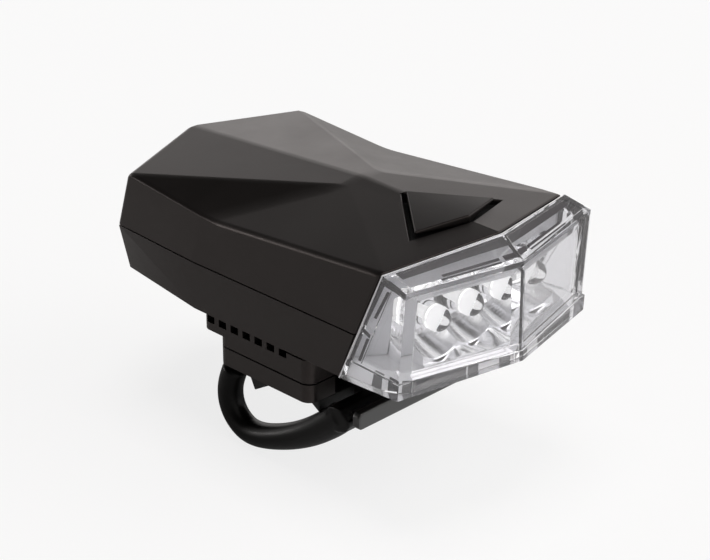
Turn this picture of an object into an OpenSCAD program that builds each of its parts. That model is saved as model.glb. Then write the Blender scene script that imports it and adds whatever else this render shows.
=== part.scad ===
// Battery bicycle headlight on a handlebar saddle with a rubber strap.
// Millimetres. X runs across the bike, the beam points along -Y and Z is up.
// The origin is on the saddle's underside, over the middle of the handlebar.

/* [Case] */
// Half width of the case at its front corners
case_half = 25; // [24:0.5:32]
// How far each side stands out at the parting line
part_flare = 0.3; // [0:0.1:1]
// How far each side draws in at the floor
floor_taper = 0.1; // [0:0.1:1]
// How far the tail draws in at its top edge
tail_taper = 1.4; // [0:0.1:4]
// How far the tail draws in at the parting line
part_tail_taper = 1; // [0:0.1:4]
// How far the tail draws in at the floor
floor_tail_taper = 3.5; // [1:0.1:6]
// Half width of the narrow waist of the top
waist_half = 4.8; // [3:0.2:8]
// Height of the case floor above the saddle's underside
floor_z = 10.4; // [9.5:0.1:14]
// Height of the lower half
lower_h = 10.3; // [9:0.1:14]
// Height of the upper half up to the ridge
upper_h = 16.8; // [14:0.1:22]
// Drop from the ridge to the top front apex
nose_drop = 0.5; // [0:0.1:2]
// Drop from the ridge to the waist corners
waist_drop = 0.5; // [0.2:0.1:2]
// Drop from the ridge to the front corners
corner_drop = 2.6; // [1:0.1:5]
// Drop from the ridge to the low point of the side edge
dip_drop = 6.8; // [4:0.1:9]
// Drop from the ridge to the tail corners
tail_corner_drop = 4.9; // [2:0.1:8]
// Drop from the ridge to the tail apex
tail_drop = 3.7; // [1:0.1:6]
// Reach of the top front apex ahead of the origin
nose_reach = 35; // [28:0.5:45]
// Place of the waist behind the origin
waist_y = 0.5; // [-5:0.5:10]
// Place of the side edge's low point behind the origin
dip_y = 17.6; // [12:0.2:26]
// Place of the tail corners behind the origin
tail_corner_y = 41.6; // [34:0.2:52]
// Reach of the pointed tail behind its corners
tail_point = 7.8; // [4:0.2:12]
// How far the tail stands out at the parting line
tail_bulge = 3.1; // [0:0.1:6]
// Forward sweep of the front edge for each millimetre of width
front_sweep = 0.2155; // [0.1:0.005:0.35]
// Backward rake of the front edge for each millimetre of drop
front_rake = 0.434; // [0.2:0.01:0.6]
// Wall thickness of the case
wall = 1.8; // [1.2:0.1:2.6]
// Thickness of the seal between the case halves
seal_t = 0.3; // [0.2:0.05:0.6]
// How far the seal lies inside the case surface
seal_inset = 0.7; // [0.4:0.1:1]

/* [Lens] */
// Reach of the lens ahead of the case's top front apex
lens_reach = 6.1; // [4:0.1:10]
// Set back of the lens's front corners behind its apex
lens_sweep = 5.5; // [4:0.1:11]
// Further set back of the lower front corners
lens_rake = 1.7; // [0.5:0.1:3]
// How far the lens's front stands wider than the case at its top
lens_top_flare = 0.4; // [0.1:0.1:1.5]
// How far the lens's front stands wider than the case at its bottom
lens_low_flare = 0.7; // [0.1:0.1:1.5]
// Drop of the lens's front top edge below the ridge
lens_top_drop = 4.2; // [2:0.1:7]
// Rise of that edge at the corners
lens_corner_rise = 0.3; // [0:0.1:1]
// Rise of the lens's bottom edge at its front corners above the case's floor
lens_low_rise = 1.2; // [0.3:0.1:2]
// Further rise of the lens's bottom edge at its apex
lens_keel_rise = 1.3; // [0:0.1:4]
// Height of the plinth along the lens's bottom
lens_band_h = 4; // [2:0.1:7]
// How far the plinth stands proud
lens_band_out = 0.4; // [0.2:0.1:1]
// Wall thickness of the lens
lens_wall = 2.2; // [1.5:0.1:3]
// Thickness of the lens gasket
gasket_t = 0.5; // [0.3:0.1:1]

/* [Lamp] */
// Spacing of the light emitting diodes
led_pitch = 8.9; // [8:0.1:11]
// Height of the diodes below the ridge
led_drop = 14.1; // [12:0.1:16]
// Diameter of a diode's body
led_d = 5; // [3:0.1:6]
// Length of a diode from its dome to the board
led_len = 8.6; // [6:0.1:10]
// Gap from a diode's dome to the inside of the lens apex
led_gap = 5.2; // [4:0.1:8]
// Radius of a reflector cup at its rim
cup_r = 7.4; // [5:0.1:9]
// Depth of a reflector cup
cup_depth = 7; // [4:0.1:7.4]
// Height of the reflector
reflector_h = 15.4; // [12:0.1:18]
// How much lower the reflector's top stands than its bottom reaches
reflector_trim = 2.5; // [1.5:0.1:4]
// Margin of the reflector beyond the outer diodes
reflector_margin = 4.7; // [4:0.1:7]
// Thickness of the circuit boards
board_t = 1.6; // [0.8:0.1:2]

/* [Button] */
// Place of the button's rear point behind the case's top front apex
button_back = 24.9; // [18:0.1:32]
// Place of the button's front point behind the case's top front apex
button_front = 6.6; // [4:0.1:10]
// Half width of the button well
button_half = 12.5; // [8:0.1:16]
// Set back of the side points behind the front point
button_sweep = 4; // [2:0.1:7]
// Gap between the button and its well
button_gap = 0.9; // [0.4:0.1:2]
// How far the button stands above the ridge
button_proud = 0.5; // [0.2:0.1:2]
// Slope of the button's two top faces, in degrees
button_slope = 5; // [2:0.5:12]
// Depth of the well below the ridge
well_depth = 2.8; // [2.2:0.1:4]
// Travel of the button
button_travel = 0.8; // [0.4:0.1:1.5]
// Diameter of the button's stem
stem_d = 3.2; // [2:0.1:5]
// Thickness of the rubber boot under the button
boot_t = 0.5; // [0.3:0.1:1]

/* [Power] */
// Diameter of a battery cell
cell_d = 10.5; // [10:0.1:11]
// Length of a battery cell
cell_len = 44.5; // [40:0.1:50.5]
// Gap between neighbouring cells
cell_gap = 0.7; // [0.4:0.1:2]
// Place of the cells' front ends behind the origin
cell_front = -6; // [-10:0.5:0]
// Wall of the cell tray
tray_wall = 1; // [0.8:0.1:2]
// Height of the cell tray
tray_h = 5; // [3:0.1:8]
// Thickness of a contact plate
contact_t = 0.5; // [0.3:0.1:1]
// Reach of the contact springs
spring_reach = 1.6; // [1:0.1:3]

/* [Mount] */
// Half width of the saddle and the shoe
mount_half = 23.5; // [18:0.5:24.5]
// Reach of the saddle ahead of the origin
mount_front = 8.9; // [7:0.1:14]
// Reach of the saddle behind the origin
mount_back = 16.6; // [14:0.1:22]
// Corner radius of the saddle and the shoe
mount_corner = 2.3; // [1:0.1:4]
// Thickness of the saddle
saddle_h = 3.75; // [3.5:0.05:6]
// Half width of the open front between the saddle's cheeks
cheek_half = 16.6; // [10:0.1:19]
// Depth of the open front between the saddle's cheeks
cheek_depth = 4; // [2:0.1:6]
// Thickness of the shoe's floor
shoe_floor = 2.9; // [2.4:0.1:4]
// Thickness of the shoe's side walls
shoe_wall = 2.3; // [1.5:0.1:3]
// How far the shoe's walls reach over the rail
shoe_lip = 2; // [1:0.1:3]
// Number of notches along each side of the shoe
notch_count = 7; // [1:1:7]
// Spacing of the notches
notch_pitch = 3.37; // [2.8:0.01:3.5]
// Length of a notch
notch_len = 2.1; // [1:0.1:2.5]
// Length of the shoe's wall behind the last notch
end_wall = 1.65; // [1:0.05:3]
// Height of the bottom of the notches above the saddle's underside
notch_z = 7.8; // [7:0.1:9.4]
// Thickness of the rail's foot
rail_foot = 1.3; // [1:0.1:2]
// Height of the shoe's lower tier
tier_h = 2; // [1:0.1:2.4]
// Reach of the shoe's upper tier behind the origin
shoe_back = 21.2; // [17:0.1:26]
// Diameter of the pivot bolt
pivot_d = 4; // [3:0.1:5]
// Diameter of the pivot bolt's head
pivot_head_d = 7.6; // [6:0.1:9]
// Height of the pivot bolt's head
pivot_head_h = 1.6; // [1.2:0.1:2]
// Place of the pivot behind the origin
pivot_y = 3.8; // [0:0.1:6]
// Width of the pivot nut across its flats
nut_af = 7; // [5.5:0.1:8]
// Height of the pivot nut
nut_h = 1.8; // [1.4:0.1:2]
// Diameter of the friction washer
washer_d = 15; // [12:0.5:20]
// Thickness of the friction washer
washer_t = 0.8; // [0.5:0.1:1.2]

/* [Bar pad] */
// Half length of the pad across the bike
pad_half = 21; // [16:0.5:22.5]
// Thickness of the pad's web
pad_t = 0.8; // [0.5:0.1:1.5]
// Place of the pad's two crests before and behind the origin
crest_y = 9; // [7:0.1:10]
// Depth of the rear crest below the saddle
crest_depth = 4.4; // [2:0.1:6]
// Depth of the front crest below the saddle
front_crest_depth = 2.5; // [1.5:0.1:3]
// Slope of the pad's inner faces, in degrees
crest_slope = 31; // [20:1:40]

/* [Strap] */
// Diameter of the strap's round strands
strap_d = 4.8; // [3:0.1:6]
// Distance of each strand from the middle
strand_x = 20; // [14:0.1:20.5]
// Diameter of the strap's front bar
front_bar_d = 5.2; // [4:0.1:7]
// Diameter of the strap's necks at the rear bar
neck_d = 2.6; // [2:0.1:3]
// Length of the strap's necks
neck_len = 2.6; // [2:0.1:4]
// Diameter of the strap's rear bar
bar_d = 3; // [2:0.1:3.4]
// Place of the rear bar behind the origin
bar_y = 14.2; // [12:0.1:14.4]
// Height of the rear bar above the saddle's underside
bar_z = 1.2; // [1:0.05:1.6]
// Reach of the strap's bend behind the rear bar
strand_back = 3.2; // [1:0.1:5]
// Height where the bend starts, below the saddle's underside
bend_top = 8.4; // [6:0.1:12]
// Radius of the bend
bend_r = 6.8; // [5:0.1:10]
// Rise of the strap as it leaves the bend, in degrees
leave_rise = 15; // [5:1:25]
// Reach of the strap's front bar ahead of the origin
hook_y = 14.2; // [13.5:0.1:18]
// Depth of the strap's front bar below the saddle's underside
hook_depth = 1.5; // [0:0.1:3]
// Reach of the pull lip ahead of the front bar
lip_reach = 4.6; // [4:0.1:10]
// Height of the pull lip
lip_h = 4.4; // [3:0.1:7]
// Thickness of the pull lip
lip_t = 1.8; // [1.2:0.1:3]
// Half width of the pull lip
lip_half = 22; // [16:0.1:24]
// Thickness of the web behind the pull lip
web_t = 2; // [1.2:0.1:3]

/* [Fasteners] */
// Diameter of the case screws
screw_d = 2.5; // [2:0.1:3]
// Diameter of the case screws' heads
screw_head_d = 4.2; // [3.5:0.1:5]
// Height of the case screws' heads
screw_head_h = 1.2; // [0.8:0.1:1.6]
// Wall of a screw boss
boss_wall = 1.1; // [0.8:0.1:2]
// Depth of a case screw in the upper half
screw_grip = 5; // [3:0.1:8]

/* [Fits] */
// Gap between moving pieces
gap = 0.35; // [0.3:0.01:0.5]
// Gap between fixed pieces
fit = 0.1; // [0.05:0.01:0.2]
// Running clearance of the pivot, on the radius
run = 0.05; // [0.02:0.01:0.1]

/* [Hidden] */
$fn = 64;
round_fn = 48;
front_half = case_half;
part_half = case_half + part_flare;
floor_half = case_half - floor_taper;
tail_half = case_half - tail_taper;
part_tail_half = case_half - part_tail_taper;
floor_tail_half = case_half - floor_tail_taper;
lens_top_half = case_half + lens_top_flare;
lens_low_half = case_half + lens_low_flare;
part_z = floor_z + lower_h;
ridge_z = part_z + upper_h;
nose_z = ridge_z - nose_drop;
waist_z = ridge_z - waist_drop;
corner_z = ridge_z - corner_drop;
dip_z = ridge_z - dip_drop;
tail_corner_z = ridge_z - tail_corner_drop;
tail_z = ridge_z - tail_drop;
nose_y = -nose_reach;
tail_y = tail_corner_y + tail_point;
low_tail_corner_y = tail_corner_y + tail_bulge;
low_tail_y = low_tail_corner_y + tail_point;
dip_half = (front_half + tail_half) / 2 + (part_half - front_half);
belly_y = dip_y + tail_point / 2;
big = 400;
over = 1;
// Lens corners
lens_nose_y = nose_y - lens_reach;
lens_corner_y = lens_nose_y + lens_sweep;
lens_top_z = ridge_z - lens_top_drop;
lens_corner_z = lens_top_z + lens_corner_rise;
lens_low_corner_y = lens_corner_y + lens_rake;
lens_low_z = floor_z + lens_low_rise;
// Lamp places
led_z = ridge_z - led_drop;
led_tip_y = lens_nose_y + lens_wall + led_gap;
led_back_y = led_tip_y + led_len;
led_xs = [for (i = [-1.5:1:1.5]) i * led_pitch];
flange_d = led_d + 0.8;
flange_t = 1;
reflector_back = led_back_y;
reflector_front = reflector_back - cup_depth;
reflector_half = 1.5 * led_pitch + reflector_margin;
led_board_back = led_back_y + board_t;
reflector_low = led_z - reflector_h / 2;
reflector_top = led_z + reflector_h / 2 - reflector_trim;
// Button places
button_rear_y = nose_y + button_back;
button_front_y = nose_y + button_front;
button_side_y = button_front_y + button_sweep;
button_y = (button_rear_y + 2 * button_side_y) / 3;
well_z = ridge_z - well_depth;
well_floor_t = wall * 0.7;
well_wall = wall * 0.7;
boot_z = well_z + boot_t;
cap_low_z = boot_z + button_travel + gap;
switch_top_z = well_z - well_floor_t - fit;
stem_low_z = switch_top_z + button_travel + gap;
switch_h = 3.4;
switch_w = 6;
main_board_top = switch_top_z - switch_h;
main_board_low = main_board_top - board_t;
main_board_half = button_half;
post_d = 3;
post_x = switch_w / 2 + post_d;
main_board_back = button_rear_y + 4;
// Power places
tray_z = floor_z + wall;
cell_z = tray_z + tray_wall + cell_d / 2;
cell_pitch = cell_d + cell_gap;
cell_xs = [for (i = [-1:1]) i * cell_pitch];
cell_back = cell_front + cell_len;
tray_half = cell_pitch + cell_d / 2 + cell_gap / 2;
tray_front = cell_front - spring_reach - contact_t - tray_wall;
tray_back = cell_back + fit + contact_t + tray_wall;
// Mount heights
shoe_z = saddle_h + gap;
shoe_floor_z = shoe_z + shoe_floor;
rail_z = shoe_floor_z + gap;
rail_foot_z = rail_z + rail_foot;
shoe_lip_z = rail_foot_z + gap;
shoe_top_z = floor_z - gap;
shoe_inner = mount_half - shoe_wall;
rail_half = shoe_inner - gap;
neck_half = shoe_inner - shoe_lip - gap;
front_wall_z = shoe_top_z - 1.05;
notch_back_y = shoe_back - end_wall;
tier_z = shoe_z + tier_h;
washer_z = shoe_z - fit - washer_t;
head_z = pad_t / 2;
nut_top_z = shoe_floor_z - fit;
// Strap places
strap_r = strap_d / 2;
bar_r = bar_d / 2;
bar_half = strand_x + bar_r;
bend_y = bar_y + strand_back - bend_r;
bend_z = -bend_top;
front_bar_y = -hook_y;
front_bar_z = -hook_depth;
collar_len = 2;
collar_d = strap_d + 4 * fit;
drop_dy = bend_y - bar_y;
drop_dz = bar_z - bend_z;
drop_len = sqrt(drop_dy * drop_dy + drop_dz * drop_dz - bend_r * bend_r);
drop_turn = atan2(drop_dy, drop_dz) + atan2(bend_r, drop_len);
leave_y = bend_y - bend_r * sin(leave_rise);
leave_z = bend_z - bend_r * cos(leave_rise);
climb_dy = leave_y - front_bar_y;
climb_dz = front_bar_z - leave_z;
climb_turn = 2 * (atan2(climb_dz, climb_dy) - leave_rise);
climb_r = sqrt(climb_dy * climb_dy + climb_dz * climb_dz) / (2 * sin(climb_turn / 2));
tongue_half = cheek_half - strap_d;
hook_front = front_bar_y + front_bar_d / 2 + gap;
// Screw places, front pair then rear pair
screw_ys = [tray_front + tray_wall, tray_back - 5];
boss_r = screw_d / 2 + fit + boss_wall;
screw_x = tray_half + fit + boss_r;
rail_screw_ys = [-4, 13];

// Front plane of the case: its place along Y at a distance x from the middle and a height z
function front_y(x, z) = nose_y + front_sweep * x + front_rake * (nose_z - z);
function mirrored(points) = [for (p = points) [-p[0], p[1], p[2]]];
function turned(faces, first, count) =
    [for (f = faces) [for (i = [len(f) - 1:-1:0]) f[i] < first ? f[i] : f[i] + count]];

// The faceted form of the whole case, inset by s, with its front moved ahead by f
module case_form(s, f) {
    mid = [
        [0, tail_y - s, tail_z - s],
        [0, waist_y, ridge_z - s],
        [0, front_y(0, nose_z - s) - f, nose_z - s],
        [0, front_y(0, part_z) - f, part_z],
        [0, front_y(0, floor_z + s) - f, floor_z + s],
        [0, low_tail_y - s, floor_z + s],
        [0, low_tail_y - s, part_z]];
    left = [
        [-tail_half + s, tail_corner_y - s, tail_corner_z - s],
        [-waist_half, waist_y, waist_z - s],
        [-dip_half + s, dip_y, dip_z - s],
        [-front_half + s, front_y(front_half - s, corner_z - s) - f, corner_z - s],
        [-part_tail_half + s, low_tail_corner_y - s, part_z],
        [-part_half + s, belly_y, part_z],
        [-part_half + s, front_y(part_half - s, part_z) - f, part_z],
        [-floor_tail_half + s, low_tail_corner_y - s, floor_z + s],
        [-floor_half + s, belly_y, floor_z + s],
        [-floor_half + s, front_y(floor_half - s, floor_z + s) - f, floor_z + s]];
    faces = [[7, 0, 8], [0, 1, 8], [7, 8, 9], [9, 8, 10], [8, 1, 2], [8, 2, 10],
        [7, 9, 12], [7, 12, 11], [9, 10, 13], [9, 13, 12],
        [11, 12, 15], [11, 15, 14], [12, 13, 16], [12, 16, 15],
        [0, 7, 11], [0, 11, 6], [6, 11, 14], [6, 14, 5],
        [5, 14, 15, 16, 4], [10, 2, 3, 13], [13, 3, 4, 16]];
    polyhedron(concat(mid, left, mirrored(left)), concat(faces, turned(faces, len(mid), len(left))));
}

// The lens's outer form, inset by s, with its open back moved behind by b
module lens_form(s, b) {
    back = b - gasket_t;
    mid = [
        [0, front_y(0, nose_z - s) + back, nose_z - s],
        [0, lens_nose_y + s, lens_top_z - s],
        [0, lens_nose_y + s, lens_low_z + lens_keel_rise + s],
        [0, front_y(0, floor_z + s) + back, floor_z + s]];
    left = [
        [-front_half + s, front_y(front_half - s, corner_z - s) + back, corner_z - s],
        [-lens_top_half + s, lens_corner_y + s, lens_corner_z - s],
        [-lens_low_half + s, lens_low_corner_y + s, lens_low_z + s],
        [-floor_half + s, front_y(floor_half - s, floor_z + s) + back, floor_z + s]];
    faces = [[0, 5, 4], [0, 1, 5], [4, 5, 6], [4, 6, 7], [7, 6, 2], [7, 2, 3],
        [5, 1, 2], [5, 2, 6], [0, 4, 7, 3]];
    polyhedron(concat(mid, left, mirrored(left)), concat(faces, turned(faces, len(mid), len(left))));
}

// A slab that spans everything between two heights
module level(z0, z1) {
    translate([-big / 2, -big / 2, z0])
        cube([big, big, z1 - z0]);
}

// A box that is centred on X, from y0 to y1 and z0 to z1
module block(half, y0, y1, z0, z1) {
    translate([-half, y0, z0])
        cube([2 * half, y1 - y0, z1 - z0]);
}

module rod_y(d, y0, y1) {
    translate([0, y1, 0])
        rotate([90, 0, 0])
            cylinder(d = d, h = y1 - y0);
}

module rod_x(d, half) {
    rotate([0, 90, 0])
        cylinder(d = d, h = 2 * half, center = true);
}

module pairs_x(x) {
    for (side = [-1, 1])
        translate([side * x, 0, 0])
            children();
}

// The button's kite outline, drawn in by an inset
module kite(inset) {
    offset(delta = -inset)
        polygon([[0, button_rear_y], [button_half, button_side_y],
            [0, button_front_y], [-button_half, button_side_y]]);
}

// A plate with rounded corners, from one reach ahead of the origin to one behind it
module mount_plate(front, back, z0, z1) {
    block(mount_half - mount_corner, -front, back, z0, z1);
    block(mount_half, -front + mount_corner, back - mount_corner, z0, z1);
    for (y = [-front + mount_corner, back - mount_corner])
        pairs_x(mount_half - mount_corner)
            translate([0, y, z0])
                cylinder(r = mount_corner, h = z1 - z0);
}

module case_bores(d, z0, z1) {
    for (y = screw_ys)
        pairs_x(screw_x)
            translate([0, y, z0])
                cylinder(d = d, h = z1 - z0);
}

module upper_case() {
    color([0.1, 0.1, 0.1])
    difference() {
        union() {
            difference() {
                case_form(0, 0);
                case_form(wall, lens_reach / 2);
            }
            intersection() {
                case_form(wall / 2, 0);
                case_bores(2 * boss_r, part_z, ridge_z);
            }
            intersection() {
                case_form(wall / 2, 0);
                translate([0, 0, well_z - well_floor_t])
                    linear_extrude(well_floor_t + well_depth)
                        kite(-well_wall);
            }
            pairs_x(post_x)
                translate([0, button_y, main_board_top])
                    cylinder(d = post_d, h = well_z - main_board_top - well_floor_t / 2);
        }
        level(-big / 2, part_z + seal_t / 2);
        translate([0, 0, well_z])
            linear_extrude(well_depth + button_proud + over)
                kite(0);
        translate([0, button_y, well_z - well_floor_t - over])
            cylinder(d = stem_d + 2 * gap, h = well_floor_t + 2 * over);
        case_bores(screw_d + 2 * fit, part_z - over, part_z + screw_grip + fit);
    }
}

module lower_case() {
    color([0.1, 0.1, 0.1])
    difference() {
        union() {
            difference() {
                case_form(0, 0);
                case_form(wall, lens_reach / 2);
            }
            intersection() {
                case_form(wall / 2, 0);
                case_bores(2 * boss_r, floor_z, part_z);
            }
        }
        level(part_z - seal_t / 2, big / 2);
        case_bores(screw_d + 2 * fit, floor_z - over, part_z + over);
        case_bores(screw_head_d + 2 * fit, floor_z - over, floor_z + screw_head_h + fit);
        for (y = rail_screw_ys)
            pairs_x(neck_half / 2)
                translate([0, y, floor_z - over])
                    cylinder(d = screw_d + 2 * fit, h = wall + 2 * over);
    }
}

module case_seal() {
    color([0.03, 0.03, 0.03])
    intersection() {
        difference() {
            case_form(seal_inset, -seal_inset);
            case_form(wall, lens_reach / 2);
        }
        level(part_z - seal_t / 2, part_z + seal_t / 2);
    }
}

module lens() {
    color([0.85, 0.88, 0.9, 0.4])
    difference() {
        union() {
            lens_form(0, 0);
            intersection() {
                lens_form(-lens_band_out, 0);
                level(floor_z, floor_z + lens_band_h);
            }
        }
        lens_form(lens_wall, lens_reach);
    }
}

module lens_gasket() {
    color([0.04, 0.04, 0.04])
    difference() {
        case_form(seal_inset, gasket_t);
        case_form(-seal_inset, 0);
        case_form(wall, lens_reach / 2);
    }
}

// One parabolic cup, opening along -Y at the reflector's front
module cup() {
    steps = 10;
    throat = flange_d / 2 + fit;
    deep = cup_depth + over;
    rotate([90, 0, 0])
        rotate_extrude()
            polygon(concat(
                [[0, -over], [throat, -over]],
                [for (i = [0:steps]) let (t = i / steps)
                    [throat + (cup_r - throat) * sqrt(t), cup_depth * t]],
                [[cup_r, deep], [0, deep]]));
}

module reflector() {
    color([0.85, 0.86, 0.88])
    difference() {
        block(reflector_half, reflector_front, reflector_back, reflector_low, reflector_top);
        for (x = led_xs)
            translate([x, reflector_back, led_z])
                cup();
    }
}

module led(x) {
    color([0.95, 0.95, 0.9])
    translate([x, 0, led_z]) {
        rod_y(led_d, led_tip_y + led_d / 2, led_back_y);
        rod_y(flange_d, led_back_y - flange_t, led_back_y);
        translate([0, led_tip_y + led_d / 2, 0])
            sphere(d = led_d);
    }
}

module led_left_outer() {
    led(led_xs[0]);
}

module led_left_inner() {
    led(led_xs[1]);
}

module led_right_inner() {
    led(led_xs[2]);
}

module led_right_outer() {
    led(led_xs[3]);
}

module led_board() {
    color([0.1, 0.35, 0.2])
    block(reflector_half, led_back_y, led_board_back, reflector_low, main_board_top);
}

module button() {
    slope_z = button_half * tan(button_slope);
    color([0.09, 0.09, 0.09]) {
        intersection() {
            translate([0, 0, cap_low_z])
                linear_extrude(well_depth)
                    kite(button_gap);
            rotate([90, 0, 0])
                linear_extrude(big, center = true)
                    polygon([[-button_half, cap_low_z], [button_half, cap_low_z],
                        [button_half, ridge_z + button_proud - slope_z], [0, ridge_z + button_proud],
                        [-button_half, ridge_z + button_proud - slope_z]]);
        }
        translate([0, button_y, stem_low_z])
            cylinder(d = stem_d, h = cap_low_z - stem_low_z);
    }
}

module button_boot() {
    color([0.05, 0.05, 0.05])
    difference() {
        translate([0, 0, well_z])
            linear_extrude(boot_t)
                kite(fit);
        translate([0, button_y, well_z - over])
            cylinder(d = stem_d + 2 * gap, h = boot_t + 2 * over);
    }
}

module switch_body() {
    color([0.15, 0.15, 0.16]) {
        translate([0, button_y, 0])
            block(switch_w / 2, -switch_w / 2, switch_w / 2, main_board_top, switch_top_z - fit - 0.6);
        translate([0, button_y, main_board_top])
            cylinder(d = stem_d, h = switch_h);
    }
}

module main_board() {
    color([0.1, 0.35, 0.2])
    block(main_board_half, led_board_back, main_board_back, main_board_low, main_board_top);
}

module cell(x) {
    color([0.75, 0.6, 0.2])
    translate([x, 0, cell_z])
        rod_y(cell_d, cell_front, cell_back);
}

module cell_left() {
    cell(cell_xs[0]);
}

module cell_middle() {
    cell(cell_xs[1]);
}

module cell_right() {
    cell(cell_xs[2]);
}

module cell_tray() {
    color([0.2, 0.2, 0.21])
    difference() {
        block(tray_half, tray_front, tray_back, tray_z, tray_z + tray_wall + tray_h);
        for (x = cell_xs)
            translate([x, 0, cell_z])
                rod_y(cell_d + 2 * fit, tray_front + tray_wall, tray_back - tray_wall);
    }
}

module contacts_front() {
    color([0.8, 0.78, 0.7])
    for (x = cell_xs)
        translate([x, 0, cell_z]) {
            rod_y(cell_d * 0.8, tray_front + tray_wall, tray_front + tray_wall + contact_t);
            rotate([-90, 0, 0])
                translate([0, 0, tray_front + tray_wall + contact_t])
                    cylinder(d1 = cell_d * 0.6, d2 = cell_d * 0.3, h = spring_reach);
        }
}

module contacts_rear() {
    color([0.8, 0.78, 0.7])
    for (x = cell_xs)
        translate([x, 0, cell_z])
            rod_y(cell_d * 0.8, tray_back - tray_wall - contact_t, tray_back - tray_wall);
}

module case_screws() {
    color([0.55, 0.55, 0.57]) {
        case_bores(screw_head_d, floor_z + fit, floor_z + fit + screw_head_h);
        case_bores(screw_d, floor_z + fit, part_z + screw_grip);
    }
}

module rail() {
    color([0.08, 0.08, 0.08])
    difference() {
        union() {
            block(rail_half, -mount_front + shoe_wall + gap, shoe_back, rail_z, rail_foot_z);
            block(neck_half, -mount_front + shoe_wall + gap, shoe_back, rail_z, floor_z);
        }
        for (y = rail_screw_ys)
            pairs_x(neck_half / 2)
                translate([0, y, rail_z - over]) {
                    cylinder(d = screw_d + 2 * fit, h = floor_z - rail_z + 2 * over);
                    cylinder(d = screw_head_d + 2 * fit, h = over + screw_head_h + gap);
                }
    }
}

module rail_screws() {
    color([0.55, 0.55, 0.57])
    for (y = rail_screw_ys)
        pairs_x(neck_half / 2)
            translate([0, y, rail_z + gap]) {
                cylinder(d = screw_head_d, h = screw_head_h);
                cylinder(d = screw_d, h = floor_z - rail_z - gap + wall - fit);
            }
}

// The shoe is a tray: the rail's foot slides in it from behind, under the notched walls' lips
module shoe() {
    color([0.09, 0.09, 0.09])
    difference() {
        union() {
            mount_plate(mount_front, mount_back, shoe_z, tier_z);
            mount_plate(mount_front, shoe_back, tier_z, shoe_top_z);
        }
        block(shoe_inner, -mount_front + shoe_wall, shoe_back + over, shoe_floor_z, shoe_lip_z);
        block(neck_half + gap, -mount_front + shoe_wall, shoe_back + over, shoe_floor_z, shoe_top_z + over);
        block(big / 2, -mount_front - over, notch_back_y - notch_count * notch_pitch + notch_len,
            front_wall_z, shoe_top_z + over);
        for (i = [0:notch_count - 1])
            block(big / 2, notch_back_y - i * notch_pitch - notch_len, notch_back_y - i * notch_pitch,
                notch_z, shoe_top_z + over);
        translate([0, pivot_y, shoe_z - over])
            cylinder(d = pivot_d + 2 * run, h = shoe_floor + 2 * over);
        translate([0, pivot_y, nut_top_z - nut_h - fit])
            cylinder(d = (nut_af + 2 * gap) / cos(30), h = nut_h + over + fit, $fn = 6);
    }
}

module saddle() {
    slot_half = strap_r + gap;
    color([0.09, 0.09, 0.09])
    difference() {
        union() {
            mount_plate(mount_front, mount_back, 0, saddle_h);
            block(tongue_half, hook_front, -mount_front + cheek_depth, 0, saddle_h - gap);
            block(tongue_half, hook_front, -crest_y - gap, front_bar_z - strap_r / 4, saddle_h - gap);
        }
        pairs_x((cheek_half + tongue_half) / 2)
            block((cheek_half - tongue_half) / 2, -mount_front - over, -mount_front + cheek_depth,
                -over, saddle_h + over);
        translate([0, bar_y, bar_z])
            rod_x(bar_d + 2 * gap, bar_half + gap);
        pairs_x(strand_x)
            block(slot_half, bar_y - neck_d / 2 - gap, mount_back + over, -over, bar_z + gap);
        pairs_x(strand_x)
            translate([0, mount_back, 0])
                rotate([45, 0, 0])
                    block(slot_half, -strap_r, strap_r, -strap_r, strap_r);
        translate([0, pivot_y, -over])
            cylinder(d = pivot_d + 2 * fit, h = saddle_h + 2 * over);
        translate([0, pivot_y, -over])
            cylinder(d = pivot_head_d + 2 * fit, h = over + head_z + pivot_head_h);
        translate([0, pivot_y, washer_z])
            cylinder(d = washer_d + 2 * fit, h = washer_t + over);
    }
}

// The rubber pad has two crests that cradle the bar between them
module bar_pad() {
    rear_run = (crest_depth - pad_t) / tan(crest_slope);
    front_run = (front_crest_depth - pad_t) / tan(crest_slope);
    color([0.05, 0.05, 0.05])
    difference() {
        rotate([90, 0, 90])
            linear_extrude(2 * pad_half, center = true)
                polygon([[-crest_y, 0], [-crest_y, -front_crest_depth], [-crest_y + front_run, -pad_t],
                    [crest_y - rear_run, -pad_t], [crest_y, -crest_depth],
                    [crest_y + (crest_depth - pad_t) / 2, -pad_t], [crest_y + (crest_depth - pad_t) / 2, 0]]);
        translate([0, pivot_y, -crest_depth - over])
            cylinder(d = pivot_head_d + 2 * gap, h = crest_depth + 2 * over);
    }
}

module pivot_bolt() {
    color([0.6, 0.6, 0.62])
    translate([0, pivot_y, 0]) {
        translate([0, 0, head_z])
            cylinder(d = pivot_head_d, h = pivot_head_h);
        translate([0, 0, head_z])
            cylinder(d = pivot_d, h = nut_top_z - head_z);
    }
}

module pivot_washer() {
    color([0.3, 0.3, 0.31])
    translate([0, pivot_y, washer_z])
        difference() {
            cylinder(d = washer_d, h = washer_t);
            translate([0, 0, -over])
                cylinder(d = pivot_d + 2 * fit, h = washer_t + 2 * over);
        }
}

module pivot_nut() {
    color([0.6, 0.6, 0.62])
    translate([0, pivot_y, nut_top_z - nut_h])
        difference() {
            cylinder(d = nut_af / cos(30), h = nut_h, $fn = 6);
            translate([0, 0, -over])
                cylinder(d = pivot_d + 2 * fit, h = nut_h + 2 * over);
        }
}

// An arc of round strand in the YZ plane, from angle a0 to a1 about a centre
module strand_arc(y, z, r, a0, a1) {
    translate([0, y, z])
        rotate([90, 0, 90])
            rotate([0, 0, a0])
                rotate_extrude(angle = a1 - a0)
                    translate([r, 0])
                        circle(d = strap_d);
}

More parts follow.
